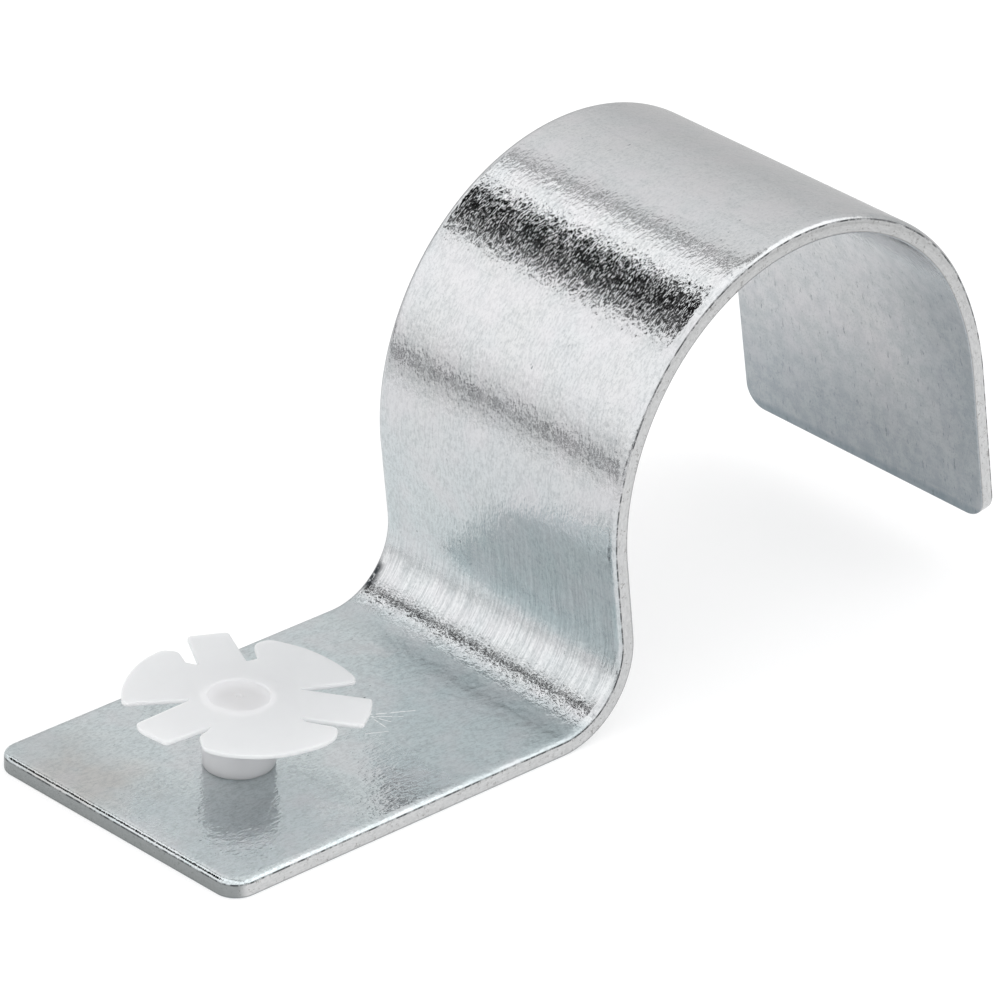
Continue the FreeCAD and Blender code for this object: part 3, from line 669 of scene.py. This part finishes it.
def build_guide():
    g = GUIDE
    edge, inward = soft_outline(PETALS, 0.25)
    n = len(edge)
    T = g["thick"]
    verts, norms, faces = [], [], []

    def ring_of(inset, w, out, up):
        start = len(verts)
        ring = edge + inward * inset
        for i in range(n):
            verts.append((ring[i, 0], ring[i, 1], w))
            norms.append((-inward[i, 0] * out, -inward[i, 1] * out, up))
        return start

    rows = [ring_of(0.07, 0.0, 0.0, -1.0), ring_of(0.04, 0.0, 0.0, -1.0)]
    for k in range(1, 4):
        a = math.radians(90 - 30 * k)
        rows.append(ring_of(0.04 * (1 - math.cos(a)), 0.04 * (1 - math.sin(a)), math.cos(a), -math.sin(a)))
    for k in range(0, 5):
        a = math.radians(90 * k / 4)
        rows.append(ring_of(0.09 * (1 - math.cos(a)), T - 0.09 + 0.09 * math.sin(a), math.cos(a), math.sin(a)))
    for r0, r1 in zip(rows[:-1], rows[1:]):
        for i in range(n):
            j = (i + 1) % n
            faces.append((r0 + i, r0 + j, r1 + j, r1 + i))

    m = 72
    ang = np.arange(m) * 2 * math.pi / m
    circle = np.stack([np.cos(ang), np.sin(ang)], -1)

    def fill(outer, radius, w, up):
        """Fill between a rim row and a circle, and give back the circle's points."""
        ring = np.array([verts[outer + i][:2] for i in range(n)])
        start = len(verts)
        for k in range(m):
            verts.append((circle[k, 0] * radius, circle[k, 1] * radius, w))
            norms.append((0, 0, up))
        grid = np.array([(x, y) for x in np.arange(-8.6, 8.6, 0.3) for y in np.arange(-8.6, 8.6, 0.3)])
        keep = inside(grid, ring) & (np.hypot(grid[:, 0], grid[:, 1]) > radius + 0.12)
        grid = grid[keep]
        near = np.min(np.hypot(grid[:, None, 0] - ring[None, :, 0], grid[:, None, 1] - ring[None, :, 1]), axis=1)
        grid = grid[near > 0.14]
        every = [tuple(q) for q in ring] + [tuple(q) for q in circle * radius] + [tuple(q) for q in grid]
        edges = [(i, (i + 1) % n) for i in range(n)] + [(n + k, n + (k + 1) % m) for k in range(m)]
        v, _, tri, orig, _, _ = delaunay_2d_cdt([Vector(q) for q in every], edges, [], 0, 1e-6)
        index = {}
        for k, o in enumerate(orig):
            src = o[0] if o else None
            if src is not None and src < n:
                index[k] = outer + src
            elif src is not None and src < n + m:
                index[k] = start + src - n
            else:
                index[k] = len(verts)
                verts.append((v[k].x, v[k].y, w))
                norms.append((0, 0, up))
        mid = np.array([[sum(v[i].x for i in f) / 3, sum(v[i].y for i in f) / 3] for f in tri])
        ok = inside(mid, ring) & (np.hypot(mid[:, 0], mid[:, 1]) > radius * math.cos(math.pi / m) - 1e-4)
        for f, good in zip(tri, ok):
            if good:
                f = [index[i] for i in f]
                faces.append(tuple(f) if up > 0 else tuple(reversed(f)))
        return start

    def circle_row(radius, w, out, up):
        start = len(verts)
        for k in range(m):
            verts.append((circle[k, 0] * radius, circle[k, 1] * radius, w))
            norms.append((circle[k, 0] * out, circle[k, 1] * out, up))
        return start

    def bridge(a, b, under=False):
        for k in range(m):
            j = (k + 1) % m
            f = (a + k, a + j, b + j, b + k)
            faces.append(tuple(reversed(f)) if under else f)

    high = fill(rows[-1], g["recess"] + 0.06, T, 1.0)
    low = fill(rows[0], g["top"] + 0.16, 0.0, -1.0)
    # the shallow recess over the bore, with the gate's mark at its centre
    last = high
    for radius, w, out, up in ((g["recess"] + 0.03, T - 0.008, 0.5, 0.86), (g["recess"] - 0.02, T - g["deep"] + 0.01, -0.5, 0.86),
                               (g["recess"] - 0.07, T - g["deep"], 0.0, 1.0), (1.2, T - g["deep"], 0.0, 1.0),
                               (0.34, T - g["deep"], 0.0, 1.0), (0.27, T - g["deep"] + 0.035, 0.3, 0.95),
                               (0.17, T - g["deep"] + 0.03, -0.4, 0.9), (0.10, T - g["deep"] - 0.05, 0.0, 1.0)):
        row = circle_row(radius, w, out if radius < 1.0 else -abs(out), up)
        bridge(last, row)
        last = row
    faces.append(tuple(last + k for k in range(m)))

    # leaning plane to the part's frame, with the petals' flex
    a, b = math.radians(g["lean_side"]), math.radians(g["lean_front"])
    rx = np.array([[1, 0, 0], [0, math.cos(a), -math.sin(a)], [0, math.sin(a), math.cos(a)]])
    ry = np.array([[math.cos(b), 0, math.sin(b)], [0, 1, 0], [-math.sin(b), 0, math.cos(b)]])
    turn = rx @ ry
    z0 = g["gauge"] + g["collar"]
    q = np.array(verts)
    nn = np.array(norms)
    e = 0.02
    lift = flex(q)
    gx = (flex(q + [e, 0, 0]) - flex(q - [e, 0, 0])) / (2 * e)
    gy = (flex(q + [0, e, 0]) - flex(q - [0, e, 0])) / (2 * e)
    nn[:, 0] -= gx * nn[:, 2]
    nn[:, 1] -= gy * nn[:, 2]
    q[:, 2] += lift
    q = q @ turn.T + [0, 0, z0]
    nn = nn @ turn.T
    verts, norms = q.tolist(), nn.tolist()

    # the collar, the spigot in the foot's hole, and the bore up to the web
    last = low
    zc, gz = z0, g["gauge"]
    prof = [(g["top"] + 0.05, zc - 0.05, 0.75, -0.65), (g["top"], zc - 0.18, 1.0, -0.1), (g["top"] - 0.02, zc - 2.2, 1.0, 0.0),
            (g["foot"], gz + 0.12, 1.0, 0.0), (g["foot"] - 0.04, gz + 0.035, 0.8, -0.6), (g["foot"] - 0.13, gz + 0.002, 0.2, -0.95),
            (g["spigot"] + 0.02, gz + 0.002, 0.0, -1.0), (g["spigot"] - 0.01, gz - 0.02, 1.0, 0.0), (g["spigot"] - 0.01, 0.12, 1.0, 0.0),
            (g["spigot"] - 0.06, 0.02, 0.6, -0.8), (g["spigot"] - 0.14, 0.0, 0.0, -1.0), (g["bore"] + 0.08, 0.0, 0.0, -1.0),
            (g["bore"] + 0.02, 0.03, -0.7, -0.7), (g["bore"], 0.10, -1.0, 0.0), (g["bore"], g["web"] - 0.12, -1.0, 0.0),
            (g["bore"] - 0.04, g["web"] - 0.03, -0.7, -0.7), (g["bore"] - 0.12, g["web"], 0.0, -1.0)]
    for radius, z, out, up in prof:
        row = circle_row(radius, z, out, up)
        bridge(last, row, under=True)
        last = row
    faces.append(tuple(reversed([last + k for k in range(m)])))

    co, nn = np.array(verts), np.array(norms, float)
    nn /= np.linalg.norm(nn, axis=1, keepdims=True)
    mesh = bpy.data.meshes.new("guide_moulding")
    mesh.from_pydata((co * MM).tolist(), [], faces)
    mesh.update()
    mesh.polygons.foreach_set("use_smooth", [True] * len(mesh.polygons))
    mesh.normals_split_custom_set_from_vertices(nn.tolist())
    ob = bpy.data.objects.new("guide_moulding", mesh)
    scene.collection.objects.link(ob)
    print("guide", len(mesh.vertices), "vertices", len(mesh.polygons), "faces")
    return ob


# =====================================================================================
# materials
# =====================================================================================
def zinc_material():
    """Zinc-plated rolled sheet: bluish grey, finely grained, with lengthwise rolling marks."""
    mat = bpy.data.materials.new("zinc_plated_sheet")
    mat.use_nodes = True
    t = Tree(mat.node_tree)
    bsdf = mat.node_tree.nodes["Principled BSDF"]
    strip = t.node("ShaderNodeAttribute", attribute_name="strip").outputs["Vector"]
    cut = t.node("ShaderNodeAttribute", attribute_name="cut").outputs["Fac"]
    sep = t.node("ShaderNodeSeparateXYZ")
    t.put(sep.inputs[0], strip)
    s_mm, y_mm, d_mm = sep.outputs
    top = t.span(d_mm, 0.7, 1.1)
    edge = t.span(cut, 0.55, 0.9)                        # 1 on the sheared edge
    # where the forming tool dragged along the strip: the bend and the riser
    formed = t.math("MULTIPLY", t.span(s_mm, 30.3, 31.6), t.span(s_mm, 44.0, 37.0))
    formed = t.math("MULTIPLY", formed, t.math("MAXIMUM", t.span(s_mm, 37.5, 34.5), t.span(y_mm, 5.0, -1.0, 0.25, 1.0)))
    bend = t.math("MULTIPLY", t.span(s_mm, 27.6, 29.2), t.span(s_mm, 37.5, 33.0))

    # ---- colour: bluer towards the foot, with clouds, darker pits and a few rubbed lines
    clouds = t.noise(strip, scale=0.22, detail=3.0, rough=0.55, distort=0.4)
    blue = t.mix(clouds, (0.590, 0.660, 0.680, 1), (0.625, 0.668, 0.672, 1))
    grey = t.mix(clouds, (0.600, 0.620, 0.640, 1), (0.632, 0.632, 0.628, 1))
    neutral = t.math("MAXIMUM", t.span(s_mm, 36.0, 50.0),
                     t.math("MULTIPLY", t.span(s_mm, 28.8, 30.5, 0.0, 0.85), t.span(s_mm, 36.5, 33.5)))
    tint = t.mix(neutral, blue, grey)
    # a faint straw stain near the foot's end
    stain = t.math("MULTIPLY", t.span(s_mm, 7.5, 2.5), t.span(t.math("ABSOLUTE", t.math("SUBTRACT", y_mm, 5.0)), 6.5, 2.0))
    stain = t.math("MULTIPLY", stain, t.span(clouds, 0.35, 0.6, 0.25, 0.8))
    tint = t.mix(stain, tint, (0.60, 0.575, 0.55, 1))
    blotch = t.noise(strip, scale=0.9, detail=4.0, rough=0.65)
    tint = t.mix(t.span(blotch, 0.36, 0.62, 0.10, 0.0), tint, (0.36, 0.40, 0.42, 1))
    speck = t.noise(strip, scale=6.0, detail=2.0, rough=0.7)
    tint = t.mix(t.span(speck, 0.34, 0.50, 0.22, 0.0), tint, (0.22, 0.25, 0.27, 1))
    # painted shade: the valleys of the grain are painted darker than its crests, standing in for fine shade in the
    # hollows
    streak = t.noise(t.stretch(strip, 2.6, 6.2, 3.0), scale=1.0, detail=1.0, rough=0.5)
    outer = t.math("MULTIPLY", top, t.span(s_mm, 66.0, 61.5, 0.35, 1.0))
    grain_valley_shade = t.math("MULTIPLY", t.span(streak, 0.30, 0.58, 0.24, 0.0), t.math("MAXIMUM", outer, 0.22))
    tint = t.mix(grain_valley_shade, tint, (0.24, 0.26, 0.27, 1))
    # long faint marks across the strip, and clouds of slightly different plating
    across = t.noise(t.stretch(strip, 2.6, 0.10, 1.0, (5.0, 2.0, 1.0)), scale=1.0, detail=4.0, rough=0.7)
    tint = t.mix(t.span(across, 0.30, 0.46, 0.16, 0.0), tint, (0.30, 0.33, 0.34, 1))
    tint = t.mix(t.span(t.noise(t.stretch(strip, 1.0, 1.0, 1.0, (9.0, 4.0, 0.0)), scale=0.35, detail=2.0), 0.42, 0.66, 0.0, 0.35),
                 tint, (0.66, 0.64, 0.66, 1))
    # painted shade: the inside of the leg and the crown's underside are painted darker towards the leg's end, its near
    # edge and up under the crown, standing in for the shaded floor they reflect; random clouds of tone ride on it
    inner = t.math("MULTIPLY", t.span(d_mm, 0.5, 0.2), t.span(s_mm, 60.0, 66.0))
    inner_shade_falloff = t.math("MAXIMUM", t.span(s_mm, 89.0, 103.0, 0.0, 0.55), t.span(y_mm, -1.0, -10.5, 0.0, 0.50))
    inner_shade_falloff = t.math("MAXIMUM", inner_shade_falloff, t.span(s_mm, 87.0, 79.0, 0.0, 0.45))
    inner_shade_falloff = t.math("MAXIMUM", inner_shade_falloff, t.span(s_mm, 101.2, 102.5, 0.0, 0.80))
    inner_shade_and_clouds = t.math("MULTIPLY", inner, t.math("ADD", inner_shade_falloff, t.span(blotch, 0.32, 0.64, 0.11, -0.05)))
    tint = t.mix(inner_shade_and_clouds, tint, (0.22, 0.27, 0.30, 1))
    scuffs = t.noise(t.stretch(strip, 0.9, 3.0, 1.0, (2.0, 7.0, 0.0)), scale=1.0, detail=4.0, rough=0.75)
    tint = t.mix(t.math("MULTIPLY", inner, t.span(scuffs, 0.42, 0.32, 0.0, 0.50)), tint, (0.14, 0.17, 0.19, 1))
    # fine drag marks where the sheet was formed
    lines = t.noise(t.stretch(strip, 0.22, 6.6, 1.0), scale=1.0, detail=3.0, rough=0.65)
    drag = t.math("MULTIPLY", t.span(lines, 0.34, 0.56, 0.30, 0.0), formed)
    tint = t.mix(drag, tint, (0.26, 0.29, 0.30, 1))
    tint = t.mix(t.math("MULTIPLY", t.span(lines, 0.50, 0.64, 0.0, 0.22), formed), tint, (0.86, 0.87, 0.87, 1))
    # painted shade: a band where the foot runs into the bend is painted darker
    bend_foot_shade = t.math("MULTIPLY", t.span(s_mm, 26.0, 28.6), t.span(s_mm, 30.3, 29.6))
    tint = t.mix(t.math("MULTIPLY", bend_foot_shade, 0.30), tint, (0.30, 0.34, 0.36, 1))
    # painted shade: the foot's end is painted darker towards its far edge
    foot_end_shade = t.math("MULTIPLY", t.span(s_mm, 6.0, 2.5), t.span(y_mm, -2.0, 3.0))
    tint = t.mix(t.math("MULTIPLY", foot_end_shade, 0.24), tint, (0.30, 0.33, 0.34, 1))
    # sparse small pits, the bend's crease and the back corner beside it darkened in patches, and a painted reflection:
    # the back rim's roll painted dark
    pits = t.noise(t.stretch(strip, 1.0, 2.2, 1.0, (3.7, 1.9, 0.0)), scale=1.1, detail=2.0, rough=0.75)
    tint = t.mix(t.span(pits, 0.275, 0.215, 0.0, 0.75), tint, (0.10, 0.12, 0.13, 1))
    crease = t.math("MULTIPLY", t.span(t.math("ABSOLUTE", t.math("SUBTRACT", s_mm, 30.95)), 0.75, 0.15),
                    t.math("MAXIMUM", t.span(y_mm, 3.0, 8.5, 0.35, 1.0), t.span(y_mm, -5.0, -8.5, 0.35, 0.85)))
    crease_patches = t.noise(t.stretch(strip, 1.6, 2.6, 1.0), scale=1.0, detail=3.0, rough=0.75)
    crease = t.math("MULTIPLY", crease, t.span(crease_patches, 0.55, 0.65, 0.0, 0.45))
    tint = t.mix(t.math("MULTIPLY", crease, top), tint, (0.03, 0.035, 0.04, 1))
    corner = t.math("MULTIPLY", t.span(t.math("ABSOLUTE", t.math("SUBTRACT", s_mm, 31.9)), 1.9, 0.7),
                    t.span(y_mm, 10.0, 10.7))
    corner = t.math("MULTIPLY", corner, t.span(crease_patches, 0.36, 0.50, 0.2, 1.0))
    tint = t.mix(t.math("MULTIPLY", corner, top), tint, (0.03, 0.035, 0.04, 1))
    # painted reflection: the top of the back rim is painted dark, standing in for the dark that its roll reflects
    back_rim_painted_reflection = t.math("MULTIPLY", t.span(y_mm, 10.78, 10.98), t.span(d_mm, 0.75, 0.95))
    tint = t.mix(t.math("MULTIPLY", back_rim_painted_reflection, 0.62), tint, (0.10, 0.11, 0.12, 1))

    # a few bright rubbed scratches on the foot
    def scratch(x0, y0, x1, y1, half_width):
        lx, ly = x1 - x0, y1 - y0
        n2 = lx * lx + ly * ly
        px = t.math("SUBTRACT", s_mm, x0)
        py = t.math("SUBTRACT", y_mm, y0)
        u = t.math("MULTIPLY_ADD", px, lx / n2, t.math("MULTIPLY", py, ly / n2), clamp=True)
        qx = t.math("SUBTRACT", px, t.math("MULTIPLY", u, lx))
        qy = t.math("SUBTRACT", py, t.math("MULTIPLY", u, ly))
        dist = t.math("SQRT", t.math("ADD", t.math("MULTIPLY", qx, qx), t.math("MULTIPLY", qy, qy)))
        return t.span(dist, half_width, half_width * 0.35)

    marks = None
    for args in ((20.2, -0.9, 22.8, -2.4, 0.065), (20.1, -1.1, 21.6, -2.4, 0.055), (20.1, -1.2, 20.6, -2.4, 0.050),
                 (20.0, -1.3, 19.9, -2.8, 0.050), (18.4, -2.5, 19.7, -3.2, 0.045)):
        one = scratch(*args)
        marks = one if marks is None else t.math("MAXIMUM", marks, one)
    marks = t.math("MULTIPLY", marks, t.span(t.noise(strip, scale=3.0, detail=2.0), 0.36, 0.5, 0.25, 0.95))
    marks = t.math("MULTIPLY", marks, top)
    tint = t.mix(marks, tint, (0.95, 0.95, 0.95, 1))
    edge_tint = t.mix(t.noise(t.stretch(strip, 3.0, 3.0, 9.0), scale=1.0, detail=3.0, rough=0.7),
                      (0.42, 0.43, 0.43, 1), (0.78, 0.78, 0.78, 1))
    flecks = t.noise(strip, scale=4.0, detail=3.0, rough=0.75)
    edge_tint = t.mix(t.span(flecks, 0.42, 0.32, 0.0, 0.6), edge_tint, (0.20, 0.19, 0.18, 1))
    edge_tint = t.mix(t.span(t.math("ABSOLUTE", t.math("SUBTRACT", d_mm, 0.07)), 0.10, 0.03, 0.0, 0.5), edge_tint, (0.10, 0.10, 0.10, 1))
    # painted shade: the sheared end is painted darker than the slit sides, standing in for the shaded floor it reflects
    edge_tint = t.mix(t.span(s_mm, 1.6, 0.9, 0.0, 0.72), edge_tint, (0.16, 0.18, 0.18, 1))
    tint = t.mix(edge, tint, edge_tint)
    # painted reflection: a broken thin dark line in the fine step where the rolled rim meets the sheared edge, standing
    # in for the dark reflection in the rim's roll
    step = t.math("MULTIPLY", t.span(t.math("ABSOLUTE", t.math("SUBTRACT", d_mm, 0.945)), 0.075, 0.03),
                  t.span(cut, 0.35, 0.6))
    step = t.math("MULTIPLY", step, t.span(t.noise(t.stretch(strip, 1.6, 1.6, 0.3), scale=1.0, detail=3.0,
                                                   rough=0.7), 0.38, 0.58, 0.10, 0.9))
    tint = t.mix(step, tint, (0.035, 0.04, 0.045, 1))
    t.put(bsdf.inputs["Base Color"], tint)
    bsdf.inputs["Metallic"].default_value = 1.0

    # ---- roughness
    rough = t.span(t.noise(strip, scale=0.8, detail=4.0, rough=0.6), 0.3, 0.7, 0.07, 0.13)
    rough = t.math("MULTIPLY_ADD", bend, 0.08, rough)
    rough = t.math("MULTIPLY_ADD", t.math("MULTIPLY", t.span(s_mm, 15.0, 21.0), t.span(s_mm, 29.6, 28.2)), 0.25, rough)
    rough = t.math("MULTIPLY_ADD", t.span(s_mm, 34.0, 37.0), t.span(s_mm, 60.0, 40.0, 0.0, 0.07), rough)
    rough = t.mixf(marks, rough, 0.42)
    rough = t.mixf(edge, rough, 0.34)
    t.put(bsdf.inputs["Roughness"], rough)

    # ---- relief in mm: short grains, rolling streaks along the strip, slow unevenness
    grain = t.noise(strip, scale=5.0, detail=1.0, rough=0.6)
    peel = t.noise(t.stretch(strip, 1.3, 1.7, 1.0), scale=1.0, detail=1.0, rough=0.5)
    near = t.math("MULTIPLY", t.span(s_mm, 14.0, 22.0), t.span(s_mm, 31.5, 30.0))
    height = t.math("MULTIPLY", grain, 0.008)
    height = t.math("MULTIPLY_ADD", streak, t.math("MULTIPLY_ADD", t.math("MULTIPLY", t.span(s_mm, 54.5, 57.0), t.span(s_mm, 64.0, 61.5)), 0.011, 0.017), height)
    height = t.math("MULTIPLY_ADD", t.math("MULTIPLY", lines, t.math("MULTIPLY_ADD", formed, 0.95, 0.05)),
                    0.022, height)
    height = t.math("MULTIPLY_ADD", peel, t.math("MULTIPLY_ADD", near, 0.028, 0.020), height)
    rubbed = t.math("MULTIPLY", t.span(s_mm, 28.0, 29.2), t.span(s_mm, 32.6, 31.2))
    height = t.math("MULTIPLY_ADD", t.math("MULTIPLY", grain, rubbed), 0.015, height)
    fracture = t.noise(t.stretch(strip, 5.0, 5.0, 2.0), scale=1.0, detail=3.0, rough=0.7)
    height = t.mixf(edge, height, t.math("MULTIPLY", fracture, t.span(d_mm, 0.85, 0.6, 0.004, 0.03)))
    bump = t.node("ShaderNodeBump")
    bump.inputs["Strength"].default_value = 1.0
    bump.inputs["Distance"].default_value = MM
    t.put(bump.inputs["Height"], height)
    t.put(bsdf.inputs["Normal"], bump.outputs["Normal"])
    return mat


def nylon_material():
    mat = bpy.data.materials.new("natural_nylon")
    mat.use_nodes = True
    t = Tree(mat.node_tree)
    bsdf = mat.node_tree.nodes["Principled BSDF"]
    pos = t.node("ShaderNodeNewGeometry").outputs["Position"]
    cloud = t.noise(pos, scale=260.0, detail=3.0)
    t.put(bsdf.inputs["Base Color"], t.mix(cloud, (0.695, 0.69, 0.715, 1), (0.755, 0.755, 0.77, 1)))
    t.put(bsdf.inputs["Roughness"], t.span(t.noise(pos, scale=900.0, detail=2.0), 0.3, 0.7, 0.36, 0.46))
    bsdf.inputs["Subsurface Weight"].default_value = 1.0
    bsdf.inputs["Subsurface Radius"].default_value = (1.0, 1.0, 1.0)
    bsdf.inputs["Subsurface Scale"].default_value = 0.003
    bump = t.node("ShaderNodeBump")
    bump.inputs["Strength"].default_value = 1.0
    bump.inputs["Distance"].default_value = MM
    t.put(bump.inputs["Height"], t.math("MULTIPLY", t.noise(pos, scale=1500.0, detail=2.0), 0.004))
    t.put(bsdf.inputs["Normal"], bump.outputs["Normal"])
    return mat


ZINC = zinc_material()
NYLON = nylon_material()

strap = build_strap()
strap.data.materials.append(ZINC)
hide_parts("strap")
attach(strap, "root")

guide = build_guide()
guide.data.materials.append(NYLON)
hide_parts("pin_guide")
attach(guide, "root")
